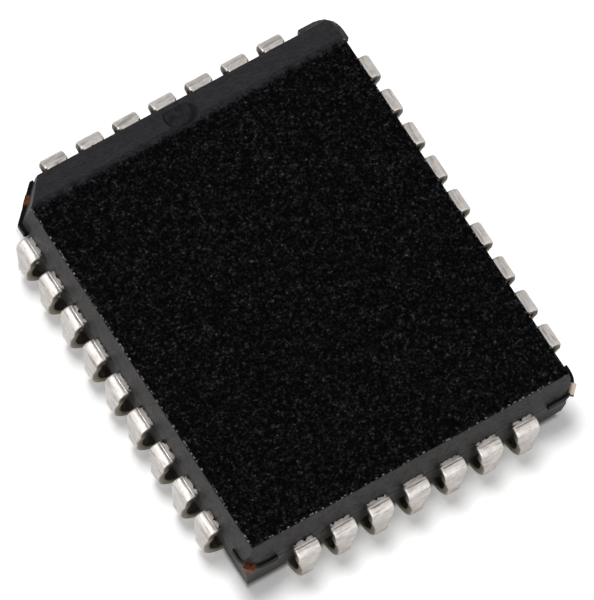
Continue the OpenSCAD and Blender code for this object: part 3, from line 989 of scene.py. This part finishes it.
def pale_floor():
    """White table top, a little self-lit for the camera, so that it is white and keeps the shadow.
    Under the chip it isn't self-lit, so the hollows of the leads stay dark."""
    block = bmesh.new()
    bmesh.ops.create_grid(block, x_segments=1, y_segments=1, size=3.0)
    floor = object_from(block, "floor")
    material = bpy.data.materials.new("white_paper")
    tree = blank_tree(material)
    paper = add_node(tree, "ShaderNodeBsdfDiffuse", {"Color": PAPER})
    seen = tree.nodes.new("ShaderNodeLightPath").outputs["Is Camera Ray"]
    parts = parts_of(tree, millimetres(tree))
    past_x = math_node(tree, "SUBTRACT", math_node(tree, "ABSOLUTE", parts["X"]), HALF_X)
    past_y = math_node(tree, "SUBTRACT", math_node(tree, "ABSOLUTE", parts["Y"]), HALF_Y)
    dark_until = -0.32
    lit_from = -0.2
    self_lit = ranged(tree, largest(tree, past_x, past_y), dark_until, lit_from, 0.0, 0.28)
    strength = product(tree, seen, self_lit)
    glow = add_node(tree, "ShaderNodeEmission", {"Color": WHITE, "Strength": strength})
    both = add_node(tree, "ShaderNodeAddShader", {0: paper.outputs[0], 1: glow.outputs[0]})
    out = tree.nodes.new("ShaderNodeOutputMaterial")
    tree.links.new(both.outputs[0], out.inputs["Surface"])
    floor.data.materials.append(material)


def soft_surround():
    """White tent: an even dim light, and in reflections brighter walls to the left and in front
    and a dimmer one at the back."""
    world = bpy.data.worlds.new("white_tent")
    tree = blank_tree(world)
    way = tree.nodes.new("ShaderNodeTexCoord").outputs["Generated"]

    def towards(axis, low, high, to_low, to_high):
        share = vector_math(tree, "DOT_PRODUCT", way, axis).outputs["Value"]
        return ranged(tree, share, low, high, to_low, to_high)

    left_wall = towards((-1, 0, 0), 0.3, 0.9, 0.88, 1.6)
    front_wall = towards((0, -1, 0), 0.3, 0.9, 0.0, 0.45)
    back_wall = towards((0, 1, 0), 0.2, 0.5, 1.0, 0.72)
    walls = product(tree, math_node(tree, "ADD", left_wall, front_wall), back_wall)
    light_path = tree.nodes.new("ShaderNodeLightPath").outputs
    mirrored = largest(tree, light_path["Is Glossy Ray"], light_path["Is Transmission Ray"])
    dim = 0.22
    unseen = ranged(tree, mirrored, 0.0, 1.0, dim, walls)
    strength = ranged(tree, light_path["Is Camera Ray"], 0.0, 1.0, unseen, 1.0)
    glow = add_node(tree, "ShaderNodeBackground", {"Color": WHITE, "Strength": strength})
    out = tree.nodes.new("ShaderNodeOutputWorld")
    tree.links.new(glow.outputs[0], out.inputs["Surface"])
    bpy.context.scene.world = world


def soft_box(name, direction, width, power, mirrored):
    """Square area lamp that faces the chip from a direction.
    It is seen either in mirror reflections alone or in matt light alone."""
    lamp = bpy.data.lights.new(name, "AREA")
    lamp.size = width
    lamp.energy = power
    holder = bpy.data.objects.new(name, lamp)
    holder.location = Vector(direction).normalized() * LAMP_DISTANCE
    holder.rotation_euler = Vector(direction).to_track_quat("Z", "Y").to_euler()
    holder.visible_glossy = mirrored
    holder.visible_diffuse = not mirrored
    bpy.context.scene.collection.objects.link(holder)


def photo_camera():
    """Camera at the photograph's viewing angle for an image of 594 by 600 pixels."""
    turn = math.radians(-38.594)
    lift = math.radians(66.519)
    roll = math.radians(-7.597)
    distance = 300.0
    pixels_per_mm = 33.568
    aim_z = 1.7
    image_w, image_h = 594, 600
    middle_x, middle_y = 287.956, 300.197
    right = Vector((math.cos(turn), math.sin(turn), 0))
    back = Vector((math.sin(turn) * math.cos(lift), -math.cos(turn) * math.cos(lift), math.sin(lift)))
    up = back.cross(right)
    camera_x = math.cos(roll) * right - math.sin(roll) * up
    camera_y = math.sin(roll) * right + math.cos(roll) * up
    aim = Vector((0, 0, aim_z))
    aim += camera_x * (image_w / 2 - middle_x) / pixels_per_mm
    aim += camera_y * (middle_y - image_h / 2) / pixels_per_mm
    camera = bpy.data.cameras.new("photo_camera")
    camera.sensor_width = 36.0
    camera.lens = pixels_per_mm * distance * camera.sensor_width / image_h
    camera.clip_start = 0.01
    camera.clip_end = 50.0
    holder = bpy.data.objects.new("photo_camera", camera)
    place = (aim + back * distance) * MM
    holder.matrix_world = Matrix((
        (camera_x.x, camera_y.x, back.x, place.x),
        (camera_x.y, camera_y.y, back.y, place.y),
        (camera_x.z, camera_y.z, back.z, place.z),
        (0, 0, 0, 1)))
    bpy.context.scene.collection.objects.link(holder)
    bpy.context.scene.camera = holder


# Pieces on the frame

def settle(piece, slot, *nodes):
    """Scales a finished piece to metres, rides it on the body and lets it stand for its nodes."""
    piece.data.transform(Matrix.Scale(MM, 4))
    piece.data.update()
    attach(piece, "root")
    if nodes:
        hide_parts(*nodes)


def pins_of(side):
    """Pin numbers along a side, in the order of its row from the pin 1 end on."""
    total = 2 * (SHORT_ROW + LONG_ROW)
    first = [0, SHORT_ROW, SHORT_ROW + LONG_ROW, 2 * SHORT_ROW + LONG_ROW][side]
    return [(first + place - (SHORT_ROW - 1) // 2) % total + 1 for place in range(row_size(side))]


SIDE_NAMES = ("pin1_side", "left_side", "far_side", "right_side")
LEAD_SEED = 11
FLASH_SEED = 21


def row_values(side, first_seed, finish_material):
    return {"Count": row_size(side), "Pitch": PITCH, "Side Distance": side_half(side),
            "Turn": side_turn(side), "Seed": first_seed + side, "Finish": finish_material}


def lead_rows(tin):
    tree = lead_row_tree()
    for side, side_name in enumerate(SIDE_NAMES):
        row_half = (row_size(side) - 1) * PITCH / 2
        paddle_half = side_half(side + 1) - FINGER_LEN - PADDLE_GAP
        values = row_values(side, LEAD_SEED, tin)
        values["Finger Draw"] = (paddle_half - FINGER_TIP_W) / row_half
        values["Dent Depth"] = 0.005
        values["Dents Per Millimetre"] = 2.2
        row = run_tree(lead_strip(), tree, values, f"leads_{side_name}")
        settle(row, "tinned_lead", *[f"lead_{pin:02d}" for pin in pins_of(side)])


def parting_flash(resin):
    tree = flash_tree()
    for side, side_name in enumerate(SIDE_NAMES):
        name = f"flash_{side_name}"
        values = row_values(side, FLASH_SEED, resin)
        values["Width"] = SHOULDER_W + 0.04
        values["Reach"] = 0.09
        values["Thickness"] = 0.014
        values["Teeth Per Millimetre"] = 6.0
        source = bpy.data.objects.new(name, bpy.data.meshes.new(name))
        bpy.context.scene.collection.objects.link(source)
        settle(run_tree(source, tree, values, name), "mould_resin")


def dress(node, material):
    """Gives a carried-over CAD node its material."""
    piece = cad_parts[node]
    piece.data.materials.clear()
    piece.data.materials.append(material)


# Node and slot of each piece inside the body, with its two tones, its metalness and its least roughness
INNER_FINISHES = [
    ("die_attach", "bond_layer", (0.45, 0.45, 0.46), (0.62, 0.62, 0.63), 0.6, 0.4),
    ("silicon_die", "silicon", (0.05, 0.055, 0.075), (0.09, 0.1, 0.14), 0.3, 0.15),
    ("bond_wires", "gold_wire", (0.75, 0.48, 0.15), (0.9, 0.62, 0.24), 1.0, 0.2),
]


def build():
    scene = bpy.context.scene
    scene.view_settings.view_transform = "Standard"
    groups = {"grain": grain_group(), "specks": speck_group(), "scratches": scratch_group()}
    resin = moulded_resin(groups)
    settle(moulded_body(resin), "mould_resin", "body")
    lead_rows(tin_plating(groups))
    parting_flash(resin)
    dress("die_paddle", bare_copper(groups))
    for node, slot, dull, bright, metallic, smoothest in INNER_FINISHES:
        dress(node, inner_material(groups, slot, dull, bright, metallic, smoothest))
    pale_floor()
    soft_surround()
    soft_box("top_box", (-0.04, 0.15, 0.99), 0.13, 1.25, False)
    soft_box("high_box", (-0.46, 0.31, 0.81), 0.1, 0.25, True)
    soft_box("low_box", (-0.67, -0.61, 0.4), 0.12, 0.2, True)
    photo_camera()


build()
